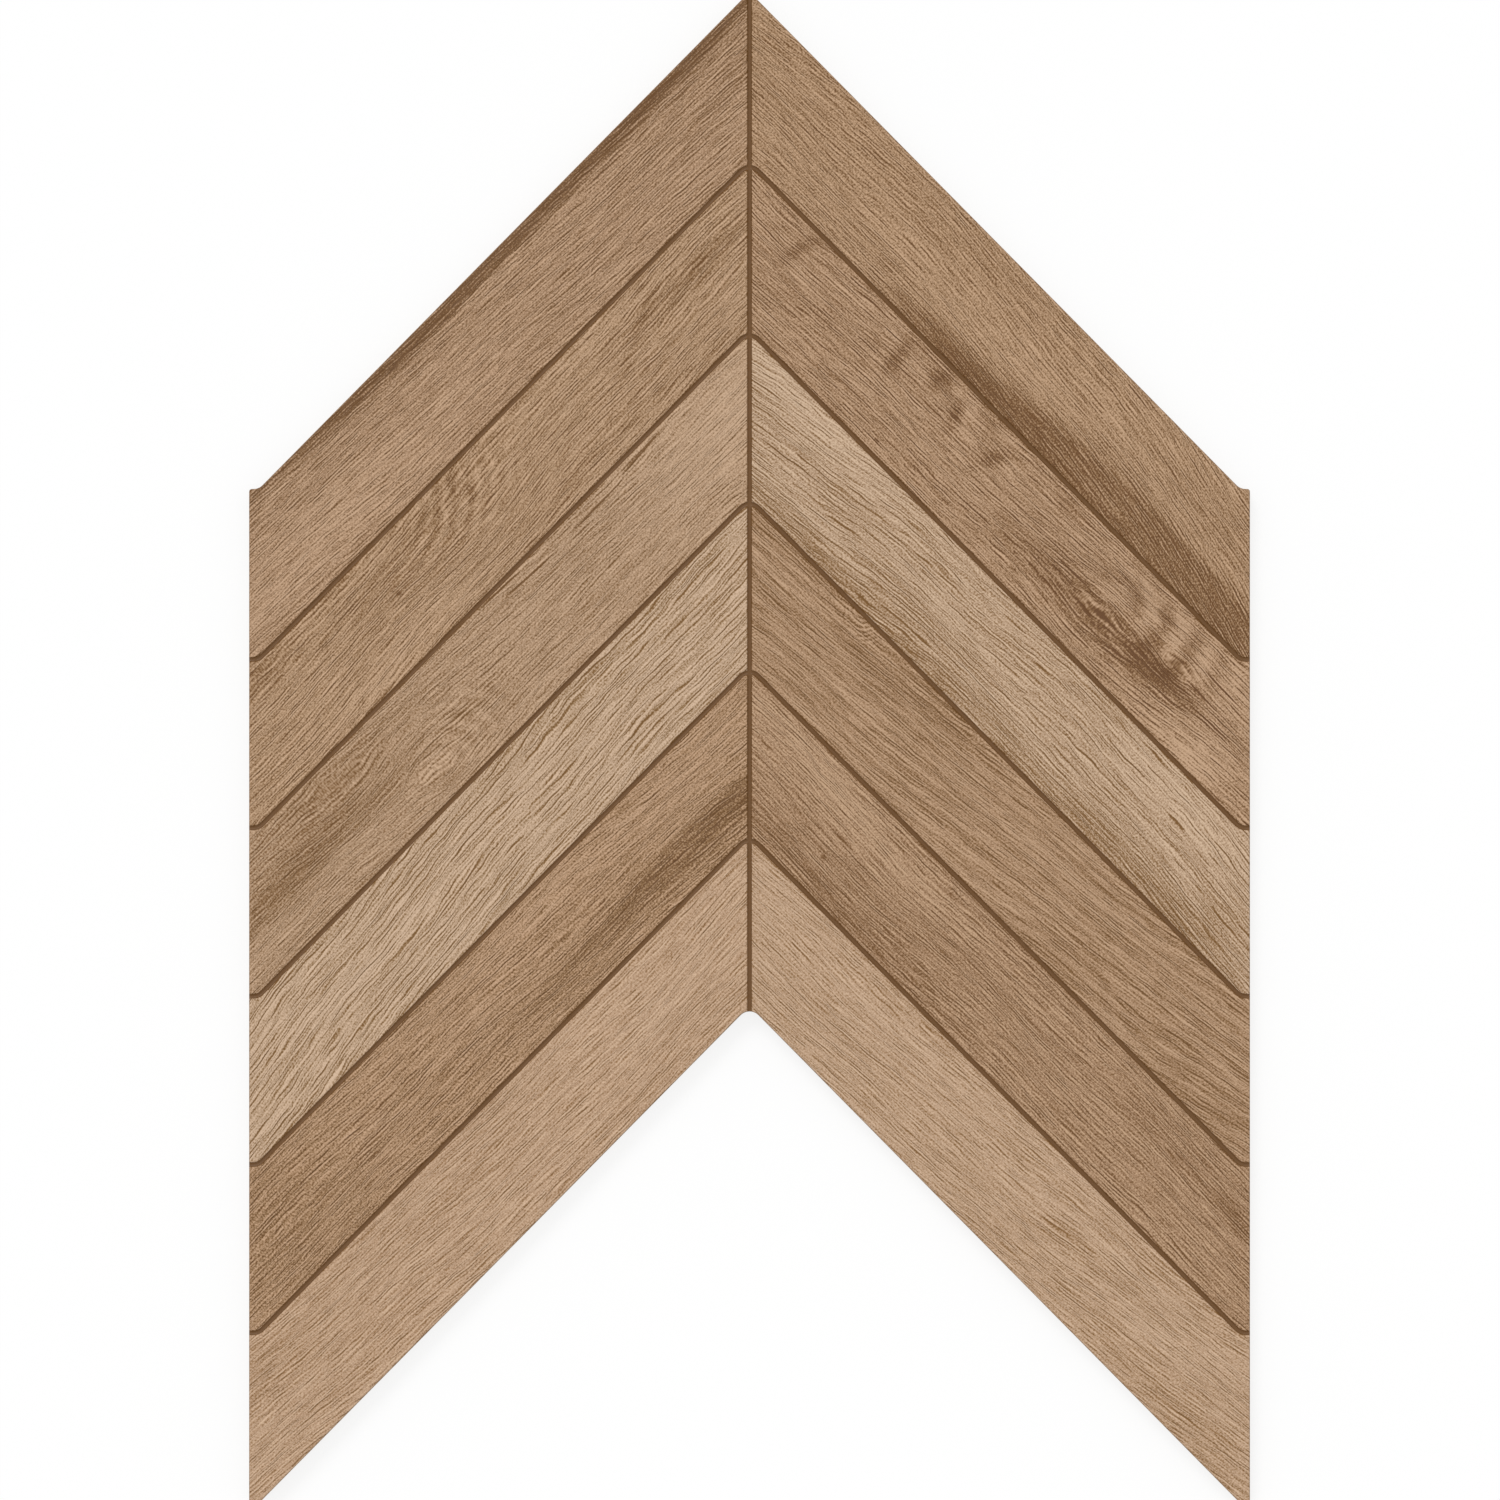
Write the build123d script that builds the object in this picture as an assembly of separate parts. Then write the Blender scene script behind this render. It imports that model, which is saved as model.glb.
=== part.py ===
"""Porcelain floor tile, pressed and fired as one piece in a chevron outline.

The face is scored into twelve planks, six on each side of a spine, by pressed
grooves that stand for joints. The back has the pressed lattice of keying pockets
that the adhesive bed grips. Millimetres, +Z up, face up, the origin under the
middle of the outline on the plane that the tile rests on.
"""

import os
from math import atan, cos, radians, sin, tan

from build123d import *

# Outline, seen from above. The apex points along +Y.
width = 440.0
side_length = 446.0
thickness = 9.5
corner_radius = 1.2

# The head, the foot and every cross groove follow one bent line.
chevron_slope = 1.013
side_bend_offset = 4.2
bend_radius = 5.5

# Edges of the pressed body
face_edge_radius = 1.0
back_edge_chamfer = 0.6

# Pressed grooves between the planks
plank_rows = 6
groove_pitch = 74.0
groove_opening = 2.6
groove_depth = 0.95
groove_draft = 36.0
groove_shoulder_radius = 0.45
groove_overrun = 6.0

# Keying pockets pressed into the back
key_rows = 9
key_rib = 3.4
key_border = 9.0
key_depth = 0.8
key_draft = 25.0

half_width = width / 2
sharp_rise = (half_width - side_bend_offset) * chevron_slope
upright = 1 / cos(atan(chevron_slope))
rise = sharp_rise - bend_radius * (upright - 1)
apex_y = (side_length + rise) / 2
notch_y = apex_y - side_length
shoulder_y = apex_y - rise
foot_y = shoulder_y - side_length


def bent_line(side_y: float, overrun: float = 0.0) -> Wire:
    """The chevron line, level for a short way at both sides and rounded at the spine."""
    return FilletPolyline(
        (-half_width - overrun, side_y),
        (-half_width + side_bend_offset, side_y),
        (0, side_y + sharp_rise),
        (half_width - side_bend_offset, side_y),
        (half_width + overrun, side_y),
        radius=bend_radius,
    )


def tile_outline() -> Face:
    """The plan of the tile: two bent lines joined by straight sides, with eased corners."""
    head = bent_line(shoulder_y)
    foot = bent_line(foot_y)
    left = Line((-half_width, foot_y), (-half_width, shoulder_y))
    right = Line((half_width, foot_y), (half_width, shoulder_y))
    plan = make_face([*head.edges(), *foot.edges(), left, right]).face()
    corners = [v for v in plan.vertices() if abs(abs(v.X) - half_width) < 1e-6]
    return fillet(corners, corner_radius).face()


def pressed_blank() -> Part:
    """The body before its grooves and keys, with a soft face edge and an eased back edge."""
    body = extrude(tile_outline(), thickness)
    face_edges = body.faces().sort_by(Axis.Z)[-1].outer_wire().edges()
    body = fillet(face_edges, face_edge_radius)
    back_edges = body.faces().sort_by(Axis.Z)[0].outer_wire().edges()
    return chamfer(back_edges, back_edge_chamfer)


def groove_section() -> Sketch:
    """A drafted groove with rounded shoulders and floor, its mouth centred at the origin.

    Each shoulder leaves the face at a tangent, so the groove has no sharp edge.
    """
    wall_angle = radians(90 - groove_draft)
    run_out = groove_opening / 2 + groove_shoulder_radius * tan(wall_angle / 2)
    valley = groove_opening / 2 * tan(wall_angle)
    floor_radius = (valley - groove_depth) / (1 / cos(wall_angle) - 1)
    right_shoulder = ThreePointArc(
        (run_out, 0),
        shoulder_point(run_out, wall_angle / 2),
        shoulder_point(run_out, wall_angle),
    )
    left_shoulder = mirror(right_shoulder, about=Plane.YZ)
    trough = FilletPolyline(
        left_shoulder @ 1,
        (0, -valley),
        right_shoulder @ 1,
        radius=floor_radius,
    )
    lid = Polyline(
        (run_out, 0),
        (run_out, groove_opening),
        (-run_out, groove_opening),
        (-run_out, 0),
    )
    edges = [*trough.edges(), *right_shoulder.edges(), *left_shoulder.edges(), *lid.edges()]
    return make_face(edges)


def shoulder_point(run_out: float, turn: float) -> tuple[float, float]:
    """The point of the right shoulder where it has turned down from the face by an angle."""
    x = run_out - groove_shoulder_radius * sin(turn)
    y = groove_shoulder_radius * (cos(turn) - 1)
    return (x, y)


def groove_cutter(path: Wire) -> Part:
    """The groove section swept along a path that lies in the plane of the face."""
    along = path % 0
    section_plane = Plane(origin=path @ 0, x_dir=Vector(0, 0, 1).cross(along), z_dir=along)
    return sweep(section_plane * groove_section(), path=path)


def groove_cutters() -> list[Part]:
    """The straight spine groove and the bent cross grooves, evenly spaced along the side."""
    spine = Line((0, notch_y - groove_overrun), (0, apex_y + groove_overrun))
    middle_y = (shoulder_y + foot_y) / 2
    rows_from_middle = [row - (plank_rows - 2) / 2 for row in range(plank_rows - 1)]
    bends = [bent_line(middle_y + row * groove_pitch, groove_overrun) for row in rows_from_middle]
    return [groove_cutter(Pos(0, 0, thickness) * path) for path in [spine, *bends]]


def key_cutter(mouth: Sketch) -> Part:
    """One pocket with drafted walls, sunk into the back."""
    return extrude(mouth, key_depth, taper=key_draft)


def key_cutters() -> list[Part]:
    """The lattice of pockets, its ribs parallel to the head and the foot of the tile.

    Every column across the tile holds the same number of pockets, so the lattice
    steps down from the spine to both sides as the head does.
    """
    border = key_border * upright
    rib = key_rib * upright
    pitch_y = (side_length - 2 * border + rib) / key_rows
    pitch_x = pitch_y / chevron_slope / 2
    reach_y = (pitch_y - rib) / 2
    reach_x = reach_y / chevron_slope
    first_y = shoulder_y + sharp_rise - border - reach_y
    field = Rectangle(width - 2 * key_border, 2 * (side_length + rise))
    pocket = Polygon((0, reach_y), (-reach_x, 0), (0, -reach_y), (reach_x, 0), align=None)
    columns = int((half_width - key_border) / pitch_x)
    cutters = []
    for column in range(-columns, columns + 1):
        head = Pos(column * pitch_x, first_y - abs(column) * pitch_x * chevron_slope)
        cutter = key_cutter(head * pocket & field)
        cutters += [Pos(0, -row * pitch_y) * cutter for row in range(key_rows)]
    return cutters


def porcelain_tile() -> Part:
    """The whole tile, one solid."""
    return pressed_blank() - groove_cutters() - key_cutters()


os.makedirs("parts", exist_ok=True)
tile = porcelain_tile()
export_step(tile, "parts/porcelain_tile.step")
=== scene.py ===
"""Porcelain chevron floor tile: a printed, pressed and glazed face on a fired body with a keyed back.

The tile is one fired piece, so it is one mesh. Its face is a flat sheet pressed to shape by a
geometry tree: bent into the chevron, grooved, cushioned at the rim and embossed with grain.
A second tree repeats the keying pockets of the back. Twelve prints dress the planks.
"""

import logging
from dataclasses import dataclass
from enum import Enum, IntEnum
from math import atan, ceil, cos, pi, radians, sin, tan

import bmesh
import bpy
from bpy.types import Material, Mesh, Node, NodeSocket, NodeTree, Object, bpy_prop_collection
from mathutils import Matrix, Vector

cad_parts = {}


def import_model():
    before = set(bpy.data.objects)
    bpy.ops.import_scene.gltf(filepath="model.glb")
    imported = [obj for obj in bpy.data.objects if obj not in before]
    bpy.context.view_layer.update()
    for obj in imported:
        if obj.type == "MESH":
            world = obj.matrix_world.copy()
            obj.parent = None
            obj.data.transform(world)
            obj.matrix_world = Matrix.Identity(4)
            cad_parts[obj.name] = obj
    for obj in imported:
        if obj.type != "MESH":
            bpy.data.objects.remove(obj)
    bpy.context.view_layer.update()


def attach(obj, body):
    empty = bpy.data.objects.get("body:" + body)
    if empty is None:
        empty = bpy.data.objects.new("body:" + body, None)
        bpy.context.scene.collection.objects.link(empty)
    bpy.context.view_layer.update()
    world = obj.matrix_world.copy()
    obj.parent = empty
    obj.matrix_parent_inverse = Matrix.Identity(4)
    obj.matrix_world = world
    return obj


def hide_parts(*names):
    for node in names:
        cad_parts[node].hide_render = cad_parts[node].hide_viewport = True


LOG = logging.getLogger("tile")
MM = 0.001

# Kinds of node
MATH = "ShaderNodeMath"
VECTOR_MATH = "ShaderNodeVectorMath"
COMBINE = "ShaderNodeCombineXYZ"
SEPARATE = "ShaderNodeSeparateXYZ"
MAPPING = "ShaderNodeMapping"
NOISE = "ShaderNodeTexNoise"
MAP_RANGE = "ShaderNodeMapRange"
MIX = "ShaderNodeMix"
BUMP = "ShaderNodeBump"
PRINCIPLED = "ShaderNodeBsdfPrincipled"
MATERIAL_OUTPUT = "ShaderNodeOutputMaterial"
NAMED_ATTRIBUTE = "GeometryNodeInputNamedAttribute"
SET_POSITION = "GeometryNodeSetPosition"
SET_MATERIAL = "GeometryNodeSetMaterial"
EXTRUDE = "GeometryNodeExtrudeMesh"

# A colour mix's sockets
MIX_FIRST = 6
MIX_SECOND = 7
MIX_RESULT = 2

# What the pressed face keeps at each point
JOINT = "joint_mm"
RIM = "rim_mm"
SHEET = "sheet_mm"
OUTWARD = "outward"

# Typical of a fired glaze and of stoneware
CERAMIC_IOR = 1.5

# How far apart the noises of two prints, and of two layers, are read
SEED_STEP = 17.3
LAYER_STEP = 31.7

# The tones at which a print's five inks are pure
INK_STOPS = (0.1, 0.3, 0.5, 0.7, 0.9)

# The sRGB curve: a straight start, then a power
SRGB_START = 0.04045
SRGB_SLOPE = 12.92
SRGB_OFFSET = 0.055
SRGB_POWER = 2.4
BRIGHTEST = 255

# Keeps a division sound where its divisor is 0
SMALLEST = 1e-9


def add(tree: NodeTree, kind: str, inputs: dict | tuple = (), **settings: object) -> Node:
    """Adds one node to a shader or geometry tree.

    Args:
        tree: The tree that gets the node.
        kind: The node's type name.
        inputs: What its inputs take, in their order, or by name or number: a node or socket to
            link, or a value.
        settings: The node's own settings, by name.

    Returns:
        The new node.
    """
    node = tree.nodes.new(kind)
    for name, value in settings.items():
        setattr(node, name, value)
    for key, value in inputs.items() if isinstance(inputs, dict) else enumerate(inputs):
        if isinstance(value, Node):
            value = value.outputs[0]
        if isinstance(value, NodeSocket):
            tree.links.new(value, node.inputs[key])
        else:
            node.inputs[key].default_value = value
    return node


def bare_material(name: str) -> Material:
    """Makes a material with an empty tree.

    Args:
        name: The material's name.

    Returns:
        The new material.
    """
    made = bpy.data.materials.new(name)
    made.use_nodes = True
    made.node_tree.nodes.clear()
    return made


def sized_tree(name: str, sizes: dict[str, float]) -> tuple[NodeTree, bpy_prop_collection]:
    """Starts a geometry tree with named inputs.

    Args:
        name: The tree's name.
        sizes: The named inputs' values, in millimetres.

    Returns:
        The tree and its inputs' sockets.
    """
    tree = bpy.data.node_groups.new(name, "GeometryNodeTree")
    for way in ("INPUT", "OUTPUT"):
        tree.interface.new_socket("Geometry", in_out=way, socket_type="NodeSocketGeometry")
    for size, value in sizes.items():
        socket = tree.interface.new_socket(size, in_out="INPUT", socket_type="NodeSocketFloat")
        socket.default_value = value * MM
    return tree, add(tree, "NodeGroupInput").outputs


def in_scene(name: str, data: bpy.types.ID) -> Object:
    """Makes an object and puts it in the scene.

    Args:
        name: The object's name.
        data: Its mesh, lamp or camera.

    Returns:
        The new object.
    """
    made = bpy.data.objects.new(name, data)
    bpy.context.scene.collection.objects.link(made)
    return made


def linear(colour: str) -> tuple[float, float, float, float]:
    """Turns an sRGB hex colour into the linear colour that a socket takes.

    Args:
        colour: Six hex digits after a hash.

    Returns:
        Linear red, green and blue with an alpha of 1.
    """
    channels = [int(colour[i:i + 2], 16) / BRIGHTEST for i in (1, 3, 5)]
    curved = [((level + SRGB_OFFSET) / (1 + SRGB_OFFSET)) ** SRGB_POWER for level in channels]
    return (*(level / SRGB_SLOPE if level <= SRGB_START else end for level, end in zip(channels, curved)), 1.0)


def halfway(first: str, second: str) -> str:
    """Finds the colour that looks half way between two others.

    Args:
        first: One sRGB hex colour.
        second: The other.

    Returns:
        The sRGB hex colour between them.
    """
    channels = [(int(first[i:i + 2], 16) + int(second[i:i + 2], 16)) // 2 for i in (1, 3, 5)]
    return "#{:02x}{:02x}{:02x}".format(*channels)


class Arm(Enum):
    """The two arms of the chevron, by the sign of X."""

    LEFT = -1
    RIGHT = 1


class Layer(IntEnum):
    """A print's noises."""

    WANDER = 1
    RIPPLE = 2
    CLOUD = 3
    FIBRE = 4
    GRIT = 5
    PORE_SHIFT = 6
    PORE_DASHES = 7
    RAGGED = 8


@dataclass(frozen=True)
class TileSizes:
    """The tile's sizes in millimetres and degrees, the same as those of its solid."""

    width: float = 440.0
    side_length: float = 446.0
    thickness: float = 9.5
    corner_radius: float = 1.2
    chevron_slope: float = 1.013
    side_bend_offset: float = 4.2
    bend_radius: float = 5.5
    face_edge_radius: float = 1.0
    back_edge_chamfer: float = 0.6
    plank_rows: int = 6
    groove_pitch: float = 74.0
    groove_opening: float = 2.6
    groove_depth: float = 0.95
    groove_draft: float = 36.0
    key_rows: int = 9
    key_rib: float = 3.4
    key_border: float = 9.0
    key_depth: float = 0.8
    key_draft: float = 25.0

    @property
    def half_width(self) -> float:
        """From the spine to a side."""
        return self.width / 2

    @property
    def turn(self) -> float:
        """The angle of the slanted edges off the X axis, in radians."""
        return atan(self.chevron_slope)

    @property
    def upright(self) -> float:
        """How much longer a distance is along Y than square to a slanted edge."""
        return 1 / cos(self.turn)

    @property
    def sharp_rise(self) -> float:
        """The bent line's height at the spine before the bend is rounded."""
        return (self.half_width - self.side_bend_offset) * self.chevron_slope

    @property
    def rise(self) -> float:
        """The bent line's height at the spine."""
        return self.sharp_rise - self.bend_radius * (self.upright - 1)

    @property
    def shoulder_y(self) -> float:
        """Y of the head line at the sides."""
        return (self.side_length - self.rise) / 2

    @property
    def side_flat(self) -> float:
        """How much of the bent line stays level at a side."""
        return self.side_bend_offset - self.bend_radius * tan(self.turn / 2)

    @property
    def bend_run(self) -> float:
        """The length of the bend at a side, and of half the bend at the spine."""
        return self.bend_radius * self.turn

    @property
    def slant_run(self) -> float:
        """The straight length of the bent line between the bends at the spine and a side."""
        corner_to_corner = (self.half_width - self.side_bend_offset) * self.upright
        return corner_to_corner - self.bend_radius * (tan(self.turn / 2) + self.chevron_slope)

    @property
    def half_run(self) -> float:
        """The bent line's length from the spine to a side."""
        return 2 * self.bend_run + self.slant_run + self.side_flat

    @property
    def line_drops(self) -> list[float]:
        """Places the head, each cross groove and the foot.

        Returns:
            How far each lies below the head line, along Y.
        """
        outer = (self.side_length - self.groove_pitch * (self.plank_rows - 2)) / 2
        grooves = [outer + row * self.groove_pitch for row in range(self.plank_rows - 1)]
        return [0.0, *grooves, self.side_length]


@dataclass(frozen=True)
class Patch:
    """A soft oval of darker or paler wood in a print, placed along and across its plank in millimetres.

    A positive depth darkens and a negative one lightens. A thin, long one is a crack in the grain.
    A lean turns it, in radians. A crisp one keeps its full depth nearly to its edge.
    """

    along: float
    across: float
    half_length: float
    half_width: float
    depth: float
    lean: float = 0.0
    crisp: float = 1.0


@dataclass(frozen=True)
class Knot:
    """A place that the grain flows round, along and across its plank in millimetres.

    A small heart packs the lines close round it.
    """

    along: float
    across: float
    radius: float
    stretch: float = 1.6
    heart: float = 1.6


@dataclass(frozen=True)
class Figure:
    """A patch of arcs that cross the grain, where the saw cut a cathedral or a curl, in millimetres.

    The arcs run round the centre and fade out towards the edge of the patch's own oval. Ragged
    says how far they waver, in radians.
    """

    along: float
    across: float
    half_length: float
    half_width: float
    depth: float
    pitch: float
    centre_along: float
    centre_across: float
    stretch: float = 1.0
    ragged: float = 7.0
    lean: float = 0.0
    crisp: float = 1.0


@dataclass(frozen=True)
class WoodPrint:
    """The picture of one oak plank that an inkjet line prints on the raw tile, under a matt glaze.

    Lengths are in millimetres, and a cell is a noise's, along and across the grain. The contrasts
    and depths say how far each layer moves the tone, which runs from 0, the darkest ink, to 1,
    the palest.
    """

    arm: Arm
    row: int
    seed: float
    dark: str
    middle: str
    pale: str
    level: float = 0.555

    # The run of the grain
    lean: float = 0.0
    bow: float = 0.0
    wander: float = 5.0
    wander_cell: tuple[float, float] = (75.0, 24.0)
    ripple: float = 0.8
    ripple_cell: tuple[float, float] = (9.0, 3.2)

    # Year rings and broad clouds
    ring_pitch: float = 5.0
    ring_contrast: float = 0.05
    ring_unevenness: float = 12.0
    cloud_contrast: float = 0.18
    cloud_cell: tuple[float, float] = (90.0, 8.0)

    # Oak's fibres and pores are finer than these. They are drawn as coarse as the print shows them.
    fibre_contrast: float = 1.06
    fibre_length: float = 24.0
    fibre_width: float = 0.6
    fibre_detail: float = 1.0
    fibre_roughness: float = 0.6
    set_off: float = 0.75
    grit_contrast: float = 0.8
    grit_size: float = 0.75
    grit_turn: float = 0.6
    pore_depth: float = 0.48
    pore_length: float = 45.0
    pore_width: float = 0.4
    pore_spacing: float = 1.3

    # How far the pores close up and how widely, in spacings
    pore_shift: float = 1.7
    pore_shift_width: float = 3.0

    # Pores are dashed where a noise is above an edge, which a larger share lowers.
    pore_share: float = 0.6
    dash_length: float = 9.0
    dash_width: float = 0.65
    dash_edge: float = 0.6
    dash_edge_drop: float = 0.25
    dash_fade: float = 0.15
    dash_crowding: float = 0.05

    # The marks of this plank alone
    patches: tuple[Patch, ...] = ()
    knots: tuple[Knot, ...] = ()
    figures: tuple[Figure, ...] = ()
    ragged_cell: tuple[float, float] = (8.0, 4.0)

    # Joint ink: the groove is flooded with one umber, a little worn where it meets the face.
    joint_ink: str = "#6c471a"
    joint_fade: tuple[float, float] = (0.2, 0.45)
    # Rim ink is painted shade: it darkens the face towards the rounded rim, in place of the cushion edge's
    # shading.
    rim_shade_ink: str = "#8a6641"
    rim_shade_fade: tuple[float, float] = (0.55, 0.1)
    rim_shade_share: float = 0.75

    # Pores are pressed a little into the glaze and are duller than the fibres between them.
    glaze_roughness: float = 0.5
    pore_roughness: float = 0.68
    pore_relief: float = 0.5
    bump_depth: float = 0.35

    def material(self, sizes: TileSizes) -> Material:
        """Makes the print: ink on glazed porcelain, so a dull sheen over crisp, fine lines.

        Args:
            sizes: The tile, which places the plank.

        Returns:
            The finished material.
        """
        made = bare_material(f"printed_oak_{self.arm.name.lower()}_{self.row + 1}")
        tree = made.node_tree
        along, across = self.plank_coordinates(tree, sizes)
        drifting = self.wandering(tree, along, across)
        flow = self.grain_flow(tree, along, drifting)
        tone, pore, height = self.tone(tree, along, drifting, flow)
        wood = self.ink(tree, tone)
        joint, rim = self.joint_ink_and_rim_shade_masks(tree, sizes)
        colour = wood
        # The rim ink paints shade along the rounded rim. The joint ink is the groove's own colour.
        for share, ink in ((rim, self.rim_shade_ink), (joint, self.joint_ink)):
            mixed = add(tree, MIX, {0: share, MIX_FIRST: colour, MIX_SECOND: linear(ink)}, data_type="RGBA")
            colour = mixed.outputs[MIX_RESULT]
        dull = add(tree, MAP_RANGE, {0: pore, 3: self.glaze_roughness, 4: self.pore_roughness})
        open_face = add(tree, MATH, (1.0, joint), operation="SUBTRACT")
        relief = add(tree, MATH, (height, open_face), operation="MULTIPLY")
        bump = add(tree, BUMP, {"Strength": 1.0, "Distance": self.bump_depth * MM, "Height": relief})
        surface = {"Base Color": colour, "Roughness": dull, "IOR": CERAMIC_IOR, "Normal": bump}
        add(tree, MATERIAL_OUTPUT, {"Surface": add(tree, PRINCIPLED, surface)})
        return made

    def plank_coordinates(self, tree: NodeTree, sizes: TileSizes) -> tuple[NodeSocket, NodeSocket]:
        """Turns the tile's own coordinates into millimetres along and across this plank.

        Args:
            tree: The print's tree.
            sizes: The tile, which places the plank.

        Returns:
            The sockets that give the distance out from the spine and up from the plank's middle.
        """
        head, foot = sizes.line_drops[self.row:self.row + 2]
        middle_y = sizes.shoulder_y + sizes.sharp_rise - (head + foot) / 2
        turned = add(
            tree,
            MAPPING,
            {
                "Vector": add(tree, "ShaderNodeTexCoord").outputs["Object"],
                "Location": (middle_y * sin(sizes.turn), -middle_y * cos(sizes.turn), 0),
                "Rotation": (0, 0, sizes.turn),
                "Scale": (self.arm.value / MM, 1 / MM, 1 / MM),
            },
        )
        split = add(tree, SEPARATE, (turned,))
        return split.outputs[0], split.outputs[1]

    def layer(
        self,
        tree: NodeTree,
        which: Layer,
        along: NodeSocket,
        across: Node | NodeSocket,
        cell: tuple[float, float],
        detail: float = 0.0,
        roughness: float = 0.5,
        turn: float = 0.0,
    ) -> Node:
        """Adds one noise that is stretched along the grain.

        Args:
            tree: The print's tree.
            which: The noise, which is read apart from the others.
            along: Distance along the plank.
            across: Distance across the plank or its grain.
            cell: The noise's cell, along and across.
            detail: How many finer octaves it has.
            roughness: How strong the finer octaves are.
            turn: Turns the noise off the grain, in radians.

        Returns:
            The noise's node.
        """
        squeezed = add(
            tree,
            MAPPING,
            {
                "Vector": add(tree, COMBINE, (along, across)),
                "Location": (self.seed * SEED_STEP, which * LAYER_STEP, 0),
                "Rotation": (0, 0, turn),
                "Scale": (1 / cell[0], 1 / cell[1], 1),
            },
        )
        settings = {"Vector": squeezed, "Scale": 1.0, "Detail": detail, "Roughness": roughness}
        return add(tree, NOISE, settings, noise_dimensions="2D")

    def wandering(self, tree: NodeTree, along: NodeSocket, across: NodeSocket) -> Node:
        """Lets the across distance wander, because no tree grows quite straight.

        Args:
            tree: The print's tree.
            along: Distance along the plank.
            across: Distance across the plank.

        Returns:
            The node that gives the wandering distance.
        """
        broad = self.layer(tree, Layer.WANDER, along, across, self.wander_cell)
        wandered = add(tree, MATH, (broad, self.wander, across), operation="MULTIPLY_ADD")
        return add(tree, MATH, (wandered, self.wander / 2), operation="SUBTRACT")

    def grain_flow(self, tree: NodeTree, along: NodeSocket, drifting: Node) -> Node:
        """Bends the across distance so that its level lines run as the grain does.

        Args:
            tree: The print's tree.
            along: Distance along the plank.
            drifting: The wandering distance across the plank.

        Returns:
            The node that gives the bent distance.
        """
        bowed = add(tree, MATH, (along, self.bow, self.lean), operation="MULTIPLY_ADD")
        drift = add(tree, MATH, (bowed, along), operation="MULTIPLY")
        flow = add(tree, MATH, (drifting, drift), operation="SUBTRACT")
        place = add(tree, COMBINE, (along, drifting))
        for knot in self.knots:
            centred = {"Vector": place, "Location": (knot.along, knot.across, 0), "Scale": (knot.stretch, 1, 1)}
            offset = add(tree, MAPPING, centred, vector_type="TEXTURE")
            square = add(tree, VECTOR_MATH, (offset, offset), operation="DOT_PRODUCT")
            area = knot.radius ** 2
            eased = add(tree, MATH, (square.outputs["Value"], knot.heart * area), operation="ADD")
            push = add(tree, MATH, (area, eased), operation="DIVIDE")
            side = add(tree, SEPARATE, (offset,))
            shift = add(tree, MATH, (push, side.outputs[1]), operation="MULTIPLY")
            flow = add(tree, MATH, (flow, shift), operation="SUBTRACT")
        fine = self.layer(tree, Layer.RIPPLE, along, flow, self.ripple_cell)
        rippled = add(tree, MATH, (fine, self.ripple, flow), operation="MULTIPLY_ADD")
        return add(tree, MATH, (rippled, self.ripple / 2), operation="SUBTRACT")

    def tone(self, tree: NodeTree, along: NodeSocket, drifting: Node, flow: Node) -> tuple[Node, Node, Node]:
        """Adds up the layers of the print.

        Args:
            tree: The print's tree.
            along: Distance along the plank.
            drifting: The wandering distance across the plank.
            flow: The bent distance across the grain.

        Returns:
            The nodes that give the tone, the pores and the height of the pressed grain.
        """
        cloud = self.layer(tree, Layer.CLOUD, along, flow, self.cloud_cell, detail=1.0)
        fibres = ((self.fibre_length, self.fibre_width), self.fibre_detail, self.fibre_roughness)
        fibre = self.layer(tree, Layer.FIBRE, along, flow, *fibres)
        # Each fibre is set off against the one beside it, so fibres make lines and no blots.
        aside = add(tree, MATH, (flow, self.fibre_width), operation="ADD")
        beside = self.layer(tree, Layer.FIBRE, along, aside, *fibres)
        lines = add(tree, MATH, (beside, -self.set_off, fibre), operation="MULTIPLY_ADD")
        grit = self.layer(tree, Layer.GRIT, along, flow, (self.grit_size, self.grit_size), turn=self.grit_turn)
        layers = ((cloud, self.cloud_contrast), (lines, self.fibre_contrast), (grit, self.grit_contrast))
        tone = self.level - sum(contrast for _, contrast in layers) / 2 + self.set_off * self.fibre_contrast / 2
        for layer, contrast in layers:
            tone = add(tree, MATH, (layer, contrast, tone), operation="MULTIPLY_ADD")
        rings = self.bands(tree, flow, cloud, self.ring_pitch, self.ring_unevenness)
        tone = add(tree, MATH, (rings, self.ring_contrast / 2, tone), operation="MULTIPLY_ADD")
        tone = self.add_patches(tree, along, drifting, tone)
        pore, dashed = self.pores(tree, along, flow, rings)
        tone = add(tree, MATH, (pore, -self.pore_depth, tone), operation="MULTIPLY_ADD")
        # The wood between the pores is paler to match, so a crowd of pores makes no blot.
        paler = self.pore_depth * self.pore_width / self.pore_spacing
        tone = add(tree, MATH, (dashed, paler, tone), operation="MULTIPLY_ADD")
        height = add(tree, MATH, (pore, -self.pore_relief, fibre), operation="MULTIPLY_ADD")
        return tone, pore, height

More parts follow.
